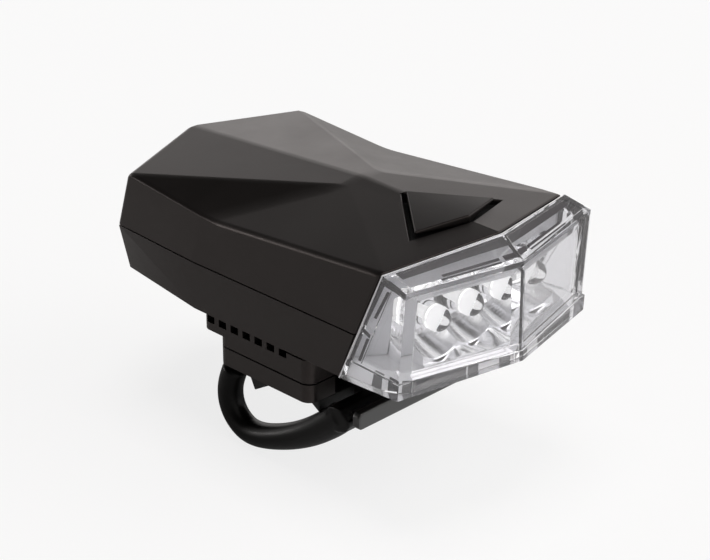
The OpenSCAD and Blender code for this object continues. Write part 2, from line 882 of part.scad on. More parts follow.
// One strand: down from the rear bar, round the bend and up to the front bar
module strand() {
    translate([0, bar_y, bar_z])
        rotate([180 + drop_turn, 0, 0]) {
            cylinder(d = neck_d, h = drop_len / 2);
            translate([0, 0, neck_len])
                cylinder(d = strap_d, h = drop_len - neck_len);
            translate([0, 0, drop_len - collar_len / 2])
                cylinder(d = collar_d, h = collar_len);
        }
    strand_arc(bend_y, bend_z, bend_r, -90 - leave_rise, drop_turn);
    strand_arc(leave_y + climb_r * sin(leave_rise), leave_z + climb_r * cos(leave_rise), climb_r,
        -90 - leave_rise - climb_turn, -90 - leave_rise);
    translate([0, leave_y, leave_z])
        rotate([-leave_rise, 0, 0])
            rod_y(collar_d, -collar_len / 2, collar_len / 2);
}

module strap() {
    lip_back = front_bar_y - lip_reach;
    web_z = front_bar_z - web_t / 2;
    lip_cut = lip_h / 3;
    color([0.04, 0.04, 0.04]) {
        translate([0, bar_y, bar_z])
            rod_x(bar_d, bar_half);
        pairs_x(strand_x)
            strand();
        translate([0, front_bar_y, front_bar_z])
            rod_x(front_bar_d, lip_half);
        block(strand_x, lip_back - lip_t / 2, front_bar_y, web_z, web_z + web_t);
        translate([0, lip_back, web_z])
            rotate([90, 0, 0])
                linear_extrude(lip_t)
                    polygon([[-lip_half, lip_cut], [-lip_half + lip_cut, 0], [lip_half - lip_cut, 0],
                        [lip_half, lip_cut], [lip_half, lip_h - lip_cut], [lip_half - lip_cut, lip_h],
                        [-lip_half + lip_cut, lip_h], [-lip_half, lip_h - lip_cut]]);
    }
}

upper_case();
lower_case();
case_seal();
lens();
lens_gasket();
reflector();
led_left_outer();
led_left_inner();
led_right_inner();
led_right_outer();
led_board();
button();
button_boot();
switch_body();
main_board();
cell_tray();
cell_left();
cell_middle();
cell_right();
contacts_front();
contacts_rear();
case_screws();
rail();
rail_screws();
shoe();
saddle();
bar_pad();
pivot_bolt();
pivot_washer();
pivot_nut();
strap();
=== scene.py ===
import math

import bmesh
import bpy
from mathutils import Matrix, Vector


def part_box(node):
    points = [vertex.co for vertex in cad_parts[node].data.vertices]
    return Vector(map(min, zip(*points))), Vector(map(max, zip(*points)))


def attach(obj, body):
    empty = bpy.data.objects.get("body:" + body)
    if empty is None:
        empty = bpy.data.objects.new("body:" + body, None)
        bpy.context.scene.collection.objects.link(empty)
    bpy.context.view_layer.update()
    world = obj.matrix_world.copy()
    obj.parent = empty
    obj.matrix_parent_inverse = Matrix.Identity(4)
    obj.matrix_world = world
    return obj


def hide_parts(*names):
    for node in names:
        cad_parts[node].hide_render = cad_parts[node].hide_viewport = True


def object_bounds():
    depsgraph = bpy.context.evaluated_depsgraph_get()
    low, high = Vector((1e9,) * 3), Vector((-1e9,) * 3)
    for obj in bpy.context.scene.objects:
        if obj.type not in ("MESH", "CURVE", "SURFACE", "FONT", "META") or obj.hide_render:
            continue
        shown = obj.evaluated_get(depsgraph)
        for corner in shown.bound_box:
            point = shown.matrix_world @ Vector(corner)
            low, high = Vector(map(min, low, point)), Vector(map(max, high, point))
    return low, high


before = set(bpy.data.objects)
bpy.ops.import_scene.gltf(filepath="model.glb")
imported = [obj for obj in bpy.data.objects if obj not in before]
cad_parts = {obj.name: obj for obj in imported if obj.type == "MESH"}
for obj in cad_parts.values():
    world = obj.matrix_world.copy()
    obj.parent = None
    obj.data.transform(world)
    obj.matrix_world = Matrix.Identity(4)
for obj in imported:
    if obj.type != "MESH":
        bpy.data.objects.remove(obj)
cad_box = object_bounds()
MM = 0.001

# Helpers for pieces
WELD_DISTANCE, FLAT_ANGLE = 2e-6, 0.6


def link(obj):
    bpy.context.scene.collection.objects.link(obj)
    return obj


def make(name, mesh, body, mat, replaces=(), angle=38, flat_weight=True):
    """Adds a finished piece: smooth below the angle in degrees, riding on a body, in place of CAD nodes."""
    obj = link(bpy.data.objects.new(name, mesh))
    mesh.materials.clear()
    mesh.materials.append(mat)
    for poly in mesh.polygons:
        poly.material_index = 0
        poly.use_smooth = True
    mesh.set_sharp_from_angle(angle=math.radians(angle))
    if flat_weight:
        obj.modifiers.new("normals", "WEIGHTED_NORMAL").keep_sharp = True
    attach(obj, body)
    if replaces:
        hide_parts(*replaces)


def bm_from_node(name):
    """A CAD node's mesh with whole flat faces."""
    bm = bmesh.new()
    bm.from_mesh(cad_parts[name].data)
    bmesh.ops.remove_doubles(bm, verts=bm.verts, dist=WELD_DISTANCE)
    bmesh.ops.dissolve_limit(bm, angle_limit=math.radians(FLAT_ANGLE), verts=bm.verts, edges=bm.edges,
                             use_dissolve_boundaries=False)
    return bm


def baked(obj):
    """The object's mesh with its modifiers applied; the object itself goes."""
    bpy.context.view_layer.update()
    deps = bpy.context.evaluated_depsgraph_get()
    mesh = bpy.data.meshes.new_from_object(obj.evaluated_get(deps))
    old = obj.data
    bpy.data.objects.remove(obj)
    if old.users == 0:
        bpy.data.meshes.remove(old)
    return mesh


def bevelled(bm, width, weight, segments=3, clamp=True):
    """Rounds edges: weight(edge, angle in degrees, middle in mm) gives each edge's share of the width."""
    mesh = bpy.data.meshes.new("tmp")
    layers = bm.edges.layers.float
    layer = layers.get("bevel_weight_edge") or layers.new("bevel_weight_edge")
    for e in bm.edges:
        e[layer] = 0.0
        if len(e.link_faces) == 2:
            mid = (e.verts[0].co + e.verts[1].co) / 2 / MM
            e[layer] = weight(e, math.degrees(e.calc_face_angle(0.0)), mid)
    bm.to_mesh(mesh)
    bm.free()
    obj = link(bpy.data.objects.new("tmp", mesh))
    mod = obj.modifiers.new("bevel", "BEVEL")
    mod.limit_method = "WEIGHT"
    mod.width = width * MM
    mod.segments = segments
    mod.use_clamp_overlap = clamp
    mod.miter_outer = "MITER_ARC"
    return baked(obj)


def sharper_than(limit):
    return lambda e, angle, mid: 1.0 if angle > limit else 0.0


def dressed(part, name, body, mat, width, weight, segments=3, clamp=True):
    """A CAD node's form with moulded edges, in place of the node."""
    mesh = bevelled(bm_from_node(part), width, weight, segments, clamp)
    make(name, mesh, body, mat, (part,))


# Helpers for shader nodes
def material(name):
    mat = bpy.data.materials.new(name)
    mat.use_nodes = True
    return mat, mat.node_tree, mat.node_tree.nodes["Principled BSDF"]


def add_node(nt, kind, **values):
    """A node whose inputs, or else settings, are given by name."""
    made = nt.nodes.new(kind)
    for key, value in values.items():
        if key in made.inputs:
            made.inputs[key].default_value = value
        else:
            setattr(made, key, value)
    return made


def grey(value):
    return (value, value, value)


def ramp(nt, source, stops):
    made = nt.nodes.new("ShaderNodeValToRGB")
    els = made.color_ramp.elements
    els[0].position, els[0].color = stops[0][0], (*stops[0][1], 1)
    els[1].position, els[1].color = stops[-1][0], (*stops[-1][1], 1)
    for pos, col in stops[1:-1]:
        els.new(pos).color = (*col, 1)
    nt.links.new(source, made.inputs["Fac"])
    return made.outputs["Color"]


def map_range(nt, source, from_range, to_range):
    limits = ("From Min", "From Max", "To Min", "To Max")
    made = add_node(nt, "ShaderNodeMapRange", **dict(zip(limits, (*from_range, *to_range))))
    nt.links.new(source, made.inputs["Value"])
    return made.outputs["Result"]


def reckon(nt, operation, *sources, clamp=False):
    """A math node on sockets or numbers."""
    made = add_node(nt, "ShaderNodeMath", operation=operation, use_clamp=clamp)
    for socket, source in zip(made.inputs, sources):
        if isinstance(source, float):
            socket.default_value = source
        else:
            nt.links.new(source, socket)
    return made.outputs[0]


def vector_value(nt, operation, source, other=(0.0, 0.0, 0.0)):
    """A number from a vector: its length, its distance to another vector or its product with it."""
    made = add_node(nt, "ShaderNodeVectorMath", operation=operation)
    made.inputs[1].default_value = other
    nt.links.new(source, made.inputs[0])
    return made.outputs["Value"]


def noise(nt, **values):
    """Noise over the object's own coordinates."""
    place = add_node(nt, "ShaderNodeTexCoord")
    made = add_node(nt, "ShaderNodeTexNoise", **values)
    nt.links.new(place.outputs["Object"], made.inputs["Vector"])
    return made.outputs["Fac"]


TONE_SPAN, GLOSS_SPAN = (0.3, 0.7), (0.25, 0.75)
GRAIN_DEPTH, METAL_DEPTH = 0.0002, 0.0001
CLEAR_IOR = 1.5


def toned(nt, bsdf, source, dark, light, rough, gloss_span=TONE_SPAN):
    """Colour and roughness that vary with the source."""
    nt.links.new(ramp(nt, source, list(zip(TONE_SPAN, (dark, light)))), bsdf.inputs["Base Color"])
    stops = [(at, grey(value)) for at, value in zip(gloss_span, rough)]
    nt.links.new(ramp(nt, source, stops), bsdf.inputs["Roughness"])


def grained(nt, bsdf, source, strength, depth):
    bump = add_node(nt, "ShaderNodeBump", Strength=strength, Distance=depth)
    nt.links.new(source, bump.inputs["Height"])
    nt.links.new(bump.outputs["Normal"], bsdf.inputs["Normal"])


def moulded(name, dark, light, rough=(0.42, 0.52), specular=0.4, grain=2600, bump=0.06, cloud=90,
            tint=(1.0, 1.0, 1.0), glow=0.0):
    """Moulded plastic or rubber: cloudy tone, uneven gloss and a fine grain; glow is an emission, used here
    only as painted light.
    """
    mat, nt, bsdf = material(name)
    toned(nt, bsdf, noise(nt, Scale=cloud, Detail=4.0, Roughness=0.6), dark, light, rough, GLOSS_SPAN)
    grained(nt, bsdf, noise(nt, Scale=grain, Detail=2.0, Roughness=0.5), bump, GRAIN_DEPTH)
    bsdf.inputs["Specular IOR Level"].default_value = specular
    bsdf.inputs["Specular Tint"].default_value = (*tint, 1)
    bsdf.inputs["Emission Color"].default_value = (1, 1, 1, 1)
    bsdf.inputs["Emission Strength"].default_value = glow
    return mat


def metal(name, dark, light, rough, scale=900, bump=0.05):
    """Metal or plated plastic: tone, gloss and a fine grain from one noise."""
    mat, nt, bsdf = material(name)
    source = noise(nt, Scale=scale, Detail=3.0, Roughness=0.55)
    toned(nt, bsdf, source, dark, light, rough)
    grained(nt, bsdf, source, bump, METAL_DEPTH)
    bsdf.inputs["Metallic"].default_value = 1.0
    return mat


def clear(name, tint_a, tint_b, rough=(0.01, 0.04), transmission=1.0):
    """Clear plastic, a little uneven in tint and polish."""
    mat, nt, bsdf = material(name)
    toned(nt, bsdf, noise(nt, Scale=120, Detail=2.0), tint_a, tint_b, rough)
    bsdf.inputs["Transmission Weight"].default_value = transmission
    bsdf.inputs["IOR"].default_value = CLEAR_IOR
    return mat


# Materials
WARM = (1.0, 0.87, 0.83)
CASE = moulded("case_plastic", (0.0038, 0.0034, 0.0032), (0.0052, 0.0046, 0.0044), (0.3, 0.36), 0.5,
               bump=0.04, tint=WARM)
BRACKET = moulded("bracket_plastic", (0.0055, 0.005, 0.0048), (0.0075, 0.0068, 0.0065), (0.36, 0.44), 0.5,
                  bump=0.05, tint=WARM)
BUTTON = moulded("button_plastic", (0.004, 0.0036, 0.0034), (0.0055, 0.005, 0.0047), (0.36, 0.44), 0.22,
                 bump=0.03, tint=WARM)
SEAL = moulded("seal_rubber", (0.003, 0.003, 0.003), (0.005, 0.005, 0.005), (0.6, 0.75), 0.2, bump=0.1)
RUBBER = moulded("strap_rubber", (0.0012, 0.0011, 0.001), (0.0022, 0.002, 0.0019), (0.32, 0.38), 0.17,
                 grain=1800, bump=0.03)
TAB = moulded("tab_rubber", (0.006, 0.0058, 0.0055), (0.009, 0.0087, 0.0083), (0.3, 0.38), 0.75,
              grain=1800, bump=0.03)
PAD = moulded("pad_rubber", (0.008, 0.008, 0.008), (0.014, 0.0138, 0.0135), (0.55, 0.7), 0.3, bump=0.12)
INNER = moulded("inner_plastic", (0.05, 0.05, 0.052), (0.075, 0.075, 0.078), (0.5, 0.6), 0.35)
BOARD = moulded("board_mask", (0.02, 0.085, 0.045), (0.028, 0.115, 0.06), (0.3, 0.45), 0.5, cloud=300)
MASK = moulded("board_white_mask", (0.72, 0.72, 0.71), (0.78, 0.78, 0.77), (0.35, 0.45), 0.4, cloud=300)
CELL = moulded("cell_sleeve", (0.42, 0.30, 0.09), (0.5, 0.38, 0.13), (0.25, 0.35), 0.5, cloud=160, bump=0.03)
# the bezel's plastic is the tray's pale plastic made darker: painted shade on its inner walls
BEZEL = moulded("bezel_plastic_painted_shade", (0.68, 0.68, 0.7), (0.74, 0.74, 0.76), (0.3, 0.4), 0.5, bump=0.02)
TRAY = moulded("tray_plastic", (0.9, 0.9, 0.91), (0.94, 0.94, 0.95), (0.3, 0.4), 0.5, bump=0.02)
RIB = moulded("rib_plastic", (0.009, 0.0085, 0.012), (0.014, 0.013, 0.018), (0.4, 0.5), 0.4)
BEAD = moulded("bead_rubber", (0.05, 0.048, 0.052), (0.07, 0.067, 0.072), (0.5, 0.65), 0.3)
# the cores' glow is painted light: an emission that brightens them beyond what the lamps give
CORE = moulded("diode_core", (0.86, 0.86, 0.84), (0.92, 0.92, 0.9), (0.2, 0.3), 0.5, bump=0.01, glow=0.65)
DIODE = clear("diode_epoxy", (0.985, 0.985, 0.98), (1.0, 1.0, 0.995), (0.02, 0.05))
LENS = clear("lens_clear", (0.94, 0.94, 0.96), (0.96, 0.957, 0.975), transmission=0.95)
MIRROR = metal("reflector_metal", (0.9, 0.9, 0.91), (0.95, 0.95, 0.96), (0.14, 0.22), 400, 0.02)
PLATED = metal("plated_plastic", (0.5, 0.5, 0.51), (0.58, 0.58, 0.59), (0.12, 0.2), 400, 0.02)
STEEL = metal("zinc_steel", (0.45, 0.45, 0.46), (0.6, 0.6, 0.61), (0.28, 0.42))
NICKEL = metal("contact_nickel", (0.6, 0.58, 0.53), (0.74, 0.72, 0.66), (0.2, 0.34))

# Case, bracket, button and pad: the CAD forms with moulded edges
SOFT, RIDGE, RIM, CRISP, FINE = 2.2, 0.9, 1.0, 0.4, 0.2
CASE_MID = Vector((0, 5, 20))
CORNER_ANGLE, FOLD_ANGLE, FLUSH_ANGLE = 45, 15, 3
WELL_Z, RIM_Z, ROOF_Z = 35.5, 28, 30
RIM_X, RIM_Y, LENS_EDGE_Y, SPINE_X = 20, 40, -28, 5


def case_edges(e, angle, mid):
    """Soft folds between the outer facets, rounded ridges and rims, fine edges at the lens and the button."""
    if min(f.normal.dot(mid - CASE_MID) for f in e.link_faces) < 0:
        return FINE / SOFT if angle > CORNER_ANGLE and mid.z > WELL_Z else 0.0
    if angle > CORNER_ANGLE:
        rim = mid.z > RIM_Z and (abs(mid.x) > RIM_X or mid.y > RIM_Y)
        return (RIM if rim else CRISP) / SOFT
    if angle > FLUSH_ANGLE and mid.z > ROOF_Z:
        if mid.y < LENS_EDGE_Y:
            return FINE / SOFT
        fold = angle < FOLD_ANGLE and abs(mid.x) > SPINE_X
        return 1.0 if fold else RIDGE / SOFT
    return 0.0


dressed("upper_case", "case_top", "light", CASE, SOFT, case_edges, 4, False)
dressed("lower_case", "case_base", "light", CASE, 0.5, sharper_than(30))
dressed("button", "button_cap", "button", BUTTON, 0.35, sharper_than(20))
dressed("shoe", "shoe_body", "shoe", BRACKET, 0.3, sharper_than(40))
dressed("saddle", "saddle_body", "saddle", BRACKET, 0.4, sharper_than(40))
dressed("rail", "rail_foot", "light", BRACKET, 0.2, sharper_than(40))
dressed("bar_pad", "bar_pad_rubber", "saddle", PAD, 0.6, sharper_than(15), 4)
dressed("button_boot", "button_boot_rubber", "light", SEAL, 0.2, sharper_than(30), 2)

# Pieces that show as the CAD made them
for names, mat in (
        (("case_seal", "lens_gasket"), SEAL),
        (("led_board",), MASK),
        (("main_board",), BOARD),
        (("switch_body", "cell_tray", "pivot_washer"), INNER),
        (("cell_left", "cell_middle", "cell_right"), CELL),
        (("contacts_front", "contacts_rear"), NICKEL),
        (("rail_screws", "pivot_bolt", "pivot_nut"), STEEL),
        (("reflector",), MIRROR),
        (("led_left_outer", "led_left_inner", "led_right_inner", "led_right_outer"), DIODE)):
    for name in names:
        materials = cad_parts[name].data.materials
        materials.clear()
        materials.append(mat)


# Meshes from points in mm
class Shell:
    """Gathers faces by their corner points, in mm; equal corners are shared."""

    def __init__(self):
        self.bm = bmesh.new()
        self.known = {}

    def vert(self, p):
        key = tuple(round(c, 4) for c in p)
        if key not in self.known:
            self.known[key] = self.bm.verts.new(Vector(p) * MM)
        return self.known[key]

    def face(self, *points):
        verts = []
        for p in points:
            v = self.vert(p)
            if v not in verts:
                verts.append(v)
        if len(verts) > 2:
            self.bm.faces.new(verts)

    def both(self, *points):
        """A face on the left half and its mirror image."""
        self.face(*points)
        self.face(*[Vector((-p[0], p[1], p[2])) for p in reversed(points)])

    def tube(self, path, sides=20):
        """Closed tube along (point, half width, half height) steps."""
        rings = []
        for i, (c, r, h) in enumerate(path):
            t = (path[min(i + 1, len(path) - 1)][0] - path[max(i - 1, 0)][0]).normalized()
            u = Vector((1, 0, 0)) if abs(t.x) < 0.9 else Vector((0, 1, 0))
            u = (u - t * u.dot(t)).normalized()
            w = t.cross(u)
            rings.append([self.bm.verts.new((c + u * math.cos(a) * r + w * math.sin(a) * h) * MM)
                          for a in (2 * math.pi * k / sides for k in range(sides))])
        for one, two in zip(rings, rings[1:]):
            for k in range(sides):
                m = (k + 1) % sides
                self.bm.faces.new((one[k], one[m], two[m], two[k]))
        self.bm.faces.new(reversed(rings[0]))
        self.bm.faces.new(rings[-1])

    def prism(self, outline, shift):
        """Closed prism from a flat outline moved along shift."""
        low = [self.bm.verts.new(Vector(p) * MM) for p in outline]
        high = [self.bm.verts.new((Vector(p) + Vector(shift)) * MM) for p in outline]
        self.bm.faces.new(reversed(low))
        self.bm.faces.new(high)
        for k in range(len(low)):
            m = (k + 1) % len(low)
            self.bm.faces.new((low[k], low[m], high[m], high[k]))

    def rib(self, quad, thick, lift):
        """A thin plate over a flat four-cornered patch of a face, on both halves."""
        pts = [Vector(p) for p in quad]
        n = (pts[3] - pts[1]).cross(pts[2] - pts[0]).normalized()
        low, high = [p + n * lift for p in pts], [p + n * (lift + thick) for p in pts]
        self.both(*high)
        self.both(*reversed(low))
        for k in range(4):
            m = (k + 1) % 4
            self.both(low[k], low[m], high[m], high[k])

    def mesh(self, name):
        bmesh.ops.recalc_face_normals(self.bm, faces=self.bm.faces)
        mesh = bpy.data.meshes.new(name)
        self.bm.to_mesh(mesh)
        self.bm.free()
        return mesh


def fused(mesh, voxel, smooth):
    """One continuous skin round overlapping closed forms."""
    obj = link(bpy.data.objects.new("tmp", mesh))
    mod = obj.modifiers.new("fuse", "REMESH")
    mod.mode = "VOXEL"
    mod.voxel_size = voxel * MM
    mod = obj.modifiers.new("soft", "SMOOTH")
    mod.factor = 0.5
    mod.iterations = smooth
    return baked(obj)


def cut_away(mesh, cutter):
    """The mesh less the cutter's space."""
    obj = link(bpy.data.objects.new("tmp", mesh))
    tool = link(bpy.data.objects.new("tool", cutter))
    mod = obj.modifiers.new("cut", "BOOLEAN")
    mod.operation, mod.object, mod.solver = "DIFFERENCE", tool, "EXACT"
    out = baked(obj)
    bpy.data.objects.remove(tool)
    bpy.data.meshes.remove(cutter)
    return out


def eased(t):
    t = min(max(t, 0.0), 1.0)
    return t * t * (3 - 2 * t)


# Case screws: pan heads with a cross recess
HEAD_R, HEAD_H, SHANK_R = 2.1, 1.2, 1.25
CROSS_HALF, CROSS_ARM, CROSS_DEEP, CROSS_BELOW = 1.25, 0.27, 0.7, 0.1
SCREW_SIDES = 32


def cross_outline(x, y, z):
    corner = [(CROSS_HALF, CROSS_ARM), (CROSS_ARM, CROSS_ARM), (CROSS_ARM, CROSS_HALF)]
    points = []
    for _ in range(4):
        points += [(x + a, y + b, z) for a, b in corner]
        corner = [(-b, a) for a, b in corner]
    return points


screws_low, screws_high = (Vector(c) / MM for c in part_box("case_screws"))
HEAD_STEPS = ((0.0, HEAD_R - 0.5), (0.12, HEAD_R - 0.18), (0.35, HEAD_R), (HEAD_H, HEAD_R), (HEAD_H, SHANK_R),
              (screws_high.z - screws_low.z, SHANK_R))
screws, crosses = Shell(), Shell()
for x in (screws_low.x + HEAD_R, screws_high.x - HEAD_R):
    for y in (screws_low.y + HEAD_R, screws_high.y - HEAD_R):
        screws.tube([(Vector((x, y, screws_low.z + up)), r, r) for up, r in HEAD_STEPS], SCREW_SIDES)
        crosses.prism(cross_outline(x, y, screws_low.z - CROSS_BELOW), (0, 0, CROSS_DEEP + CROSS_BELOW))
make("case_screw_heads", cut_away(screws.mesh("screws"), crosses.mesh("crosses")), "light", STEEL,
     ("case_screws",), angle=30)

# Strap: one rubber moulding of two strands, a rear bar and a front bar
STRAND_X, STRAND_R, HAND_R, HAND_HALF = 20.0, 2.6, 3.1, 2.3
NECK_R, NECK_LEN, NECK_FADE = 1.3, 2.6, 1.2
BAR_Y, BAR_Z, BAR_R, BAR_HALF, BAR_END, BAR_TIP = 14.2, 1.2, 1.5, 21.4, 0.5, 0.35
BEND_R, BEND_Z, STRAND_BACK = 6.8, -8.4, 3.2
BEND_Y = BAR_Y + STRAND_BACK - BEND_R
LEAVE = math.radians(15)
FRONT_Y, FRONT_Z, FRONT_HALF = -14.2, -1.5, 22.0
DOWN_STEPS, BEND_STEPS, TIP_STEPS, RELAX_REACH = 24, 28, 8, 6
STRAP_VOXEL, STRAP_SMOOTH = 0.3, 4
# the front bar is flat on top with a crisp front edge, and round below
FRONT_SECTION = ((2.5, -1.0), (2.5, 1.0), (1.6, 2.3), (-1.2, 2.6), (-3.5, 0.9), (-3.7, -0.4), (-2.6, -2.0),
                 (-0.6, -2.6), (1.3, -2.2))


def relaxed(path, reach):
    """Each point of a path at the mean of its neighbours, so that its bends run into each other."""
    last = len(path) - 1
    out = []
    for i, (_, r, h) in enumerate(path):
        k = min(reach, i, last - i)
        near = [step[0] for step in path[i - k:i + k + 1]]
        out.append((sum(near, Vector()) / len(near), r, h))
    return out


def strand_path(x):
    """Centre line of one strand: down from the rear bar, round the bend and up to the front bar."""
    dy, dz = BEND_Y - BAR_Y, BAR_Z - BEND_Z
    length = math.sqrt(dy * dy + dz * dz - BEND_R * BEND_R)
    turn = math.atan2(dy, dz) + math.atan2(BEND_R, length)
    path = []
    for i in range(DOWN_STEPS + 1):
        t = length * i / DOWN_STEPS
        r = NECK_R + (STRAND_R - NECK_R) * eased((t - NECK_LEN) / NECK_FADE)
        path.append((Vector((x, BAR_Y + t * math.sin(turn), BAR_Z - t * math.cos(turn))), r, r))
    bottom = -math.pi / 2 - LEAVE
    for i in range(1, BEND_STEPS + 1):
        a = turn + (bottom - turn) * i / BEND_STEPS
        point = Vector((x, BEND_Y + BEND_R * math.cos(a), BEND_Z + BEND_R * math.sin(a)))
        path.append((point, STRAND_R, STRAND_R))
    leave_y, leave_z = BEND_Y - BEND_R * math.sin(LEAVE), BEND_Z - BEND_R * math.cos(LEAVE)
    cy, cz = leave_y - FRONT_Y, FRONT_Z - leave_z
    climb = 2 * (math.atan2(cz, cy) - LEAVE)
    r = math.hypot(cy, cz) / (2 * math.sin(climb / 2))
    for i in range(1, BEND_STEPS + 1):
        a = bottom - climb * i / BEND_STEPS
        grow = eased(i / BEND_STEPS)
        point = Vector((x, leave_y + r * math.sin(LEAVE) + r * math.cos(a),
                        leave_z + r * math.cos(LEAVE) + r * math.sin(a)))
        path.append((point, STRAND_R + (HAND_HALF - STRAND_R) * grow, STRAND_R + (HAND_R - STRAND_R) * grow))
    return relaxed(path, RELAX_REACH)


def rear_bar_path():
    """The rear bar along X, whose ends round off."""
    path = []
    for i in range(TIP_STEPS + 1):
        a = math.pi / 2 * i / TIP_STEPS
        q = BAR_R * (BAR_TIP + (1 - BAR_TIP) * math.sin(a))
        path.append((Vector((-BAR_HALF + BAR_END * (1 - math.cos(a)), BAR_Y, BAR_Z)), q, q))
    return path + [(Vector((-c.x, BAR_Y, BAR_Z)), q, q) for c, q, _ in reversed(path)]


strap = Shell()
for x in (-STRAND_X, STRAND_X):
    strap.tube(strand_path(x))
strap.tube(rear_bar_path())
strap.prism([(-FRONT_HALF, FRONT_Y + y, FRONT_Z + z) for y, z in FRONT_SECTION], (2 * FRONT_HALF, 0, 0))
make("strap_rubber", fused(strap.mesh("strap"), STRAP_VOXEL, STRAP_SMOOTH), "strap", RUBBER,
     ("strap",), angle=60, flat_weight=False)

# Pull tab along the front bar: a web and an upright lip with cut corners
LIP_Y, LIP_T, LIP_LOW, LIP_TOP, LIP_CUT = -18.8, 1.8, -1.7, 1.9, 0.7
WEB_T, WEB_IN = 2.0, 0.5
TAB_VOXEL, TAB_SMOOTH = 0.25, 3
tab = Shell()
tab.prism([(-STRAND_X, FRONT_Y, LIP_LOW), (STRAND_X, FRONT_Y, LIP_LOW), (STRAND_X, LIP_Y - WEB_IN, LIP_LOW),
           (-STRAND_X, LIP_Y - WEB_IN, LIP_LOW)], (0, 0, WEB_T))
LIP_IN, LIP_FOOT, LIP_HEAD = FRONT_HALF - LIP_CUT, LIP_LOW + LIP_CUT, LIP_TOP - LIP_CUT
LIP_CORNERS = ((FRONT_HALF, LIP_FOOT), (FRONT_HALF, LIP_HEAD), (LIP_IN, LIP_TOP), (-LIP_IN, LIP_TOP),
               (-FRONT_HALF, LIP_HEAD), (-FRONT_HALF, LIP_FOOT), (-LIP_IN, LIP_LOW), (LIP_IN, LIP_LOW))
tab.prism([(x, LIP_Y, z) for x, z in LIP_CORNERS], (0, -LIP_T, 0))
make("strap_tab", fused(tab.mesh("tab"), TAB_VOXEL, TAB_SMOOTH), "strap", TAB, angle=60,
     flat_weight=False)

# Lens: one clear moulding with framed windows
NOSE_Y, NOSE_Z, SWEEP, RAKE, GASKET, FLANGE_T = -35.0, 37.0, 0.2155, 0.434, 0.5, 0.3
LENS_NOSE_Y, LENS_TOP, LENS_KEEL, LENS_FLOOR = -41.1, 33.3, 12.9, 10.4
LENS_HALF, SHOULDER_Z, FLOOR_HALF = 25.0, 34.9, 24.9
BAND_Z, BAND_OUT, LENS_WALL = 15.0, 0.4, 2.2
LENS_THROAT, LENS_COVE, NOSE_FLAT, LENS_EDGE, LENS_EDGE_ANGLE = 2.3, 1.035, 1.5, 0.08, 40
WINDOW_SLOPE = 2.4
TOP_WINDOW, TOP_DEPTH = (0.7, 1.6, 1.1, 0.35), 0.12
FRONT_WINDOW, FRONT_DEPTH = (1.0, 2.5, 1.4, 0.35), 0.14
SIDE_WINDOW, SIDE_DEPTH = (1.2, 2.9, 0.3, 0.35), 0.14
SAME_POINT = 0.01


def back_y(x, z):
    """Where the lens's open back lies, against the case's front."""
    return NOSE_Y + SWEEP * abs(x) + RAKE * (NOSE_Z - z) - GASKET - FLANGE_T


def at_back(x, z):
    return Vector((x, back_y(x, z), z))


def meet(p, q):
    """Where the line from p to q meets the lens's back."""
    a, b = back_y(p.x, p.z) - p.y, back_y(q.x, q.z) - q.y
    return p.lerp(q, a / (a - b))


def at_height(p, q, z):
    """The point of the line from p to q at a height."""
    return p.lerp(q, (z - p.z) / (q.z - p.z))


def recess(shell, quad, margins, depth):
    """A window set back in a face, with its own margin along each edge, on both halves."""
    pts = [Vector(p) for p in quad]
    normal = (pts[2] - pts[0]).cross(pts[3] - pts[1]).normalized()
    lines = []
    for k in range(4):
        p, q = pts[k], pts[(k + 1) % 4]
        d = (q - p).normalized()
        lines.append((p + normal.cross(d).normalized() * margins[k], d))
    inner = []
    for k in range(4):
        (p, d), (q, e) = lines[k - 1], lines[k]
        side = normal.cross(e)
        inner.append(p + d * ((q - p).dot(side) / d.dot(side)))
    mid = sum(inner, Vector()) / 4
    deep = [p - normal * depth + (mid - p).normalized() * depth * WINDOW_SLOPE for p in inner]
    for k in range(4):
        m = (k + 1) % 4
        shell.both(pts[k], pts[m], inner[m], inner[k])
        shell.both(inner[k], inner[m], deep[m], deep[k])
    shell.both(*deep)


top_back, side_back = at_back(0, NOSE_Z), at_back(-LENS_HALF, SHOULDER_Z)
floor_side = at_back(-FLOOR_HALF, LENS_FLOOR)
nose_top, nose_low = Vector((0, LENS_NOSE_Y, LENS_TOP)), Vector((0, LENS_NOSE_Y, LENS_KEEL))
corner_top, corner_low = Vector((-25.4, -35.6, 33.6)), Vector((-25.7, -33.9, 11.6))
# the plinth's band stands out from the panes
side_band = at_height(floor_side, side_back, BAND_Z)
corner_band, nose_band = at_height(corner_low, corner_top, BAND_Z), at_height(nose_low, nose_top, BAND_Z)
out_corner, out_nose = Vector((-BAND_OUT, -BAND_OUT, 0)), Vector((0, -BAND_OUT, 0))
side_out, side_low = at_back(side_band.x - BAND_OUT, BAND_Z), at_back(floor_side.x - BAND_OUT, LENS_FLOOR)
corner_out, nose_out = corner_band + out_corner, nose_band + out_nose
corner_foot, nose_foot = corner_low + out_corner, nose_low + out_nose
# the hollow is open at the back and below; its edges run back towards points inside the case
hollow_nose_top = nose_top + Vector((0, LENS_WALL, -LENS_WALL))
hollow_nose_low = nose_low + Vector((0, LENS_WALL, 0))
hollow_top = corner_top + Vector((LENS_WALL, LENS_WALL, -LENS_WALL))
hollow_low = corner_low + Vector((LENS_WALL, LENS_WALL, 0))
hollow_back_top = meet(hollow_nose_top, Vector((0, -28.4, 34.8)))
hollow_side_top = meet(hollow_top, Vector((-22.8, -22.6, 32.7)))
hollow_side_low = meet(hollow_low, Vector((-22.7, -13.9, LENS_FLOOR)))

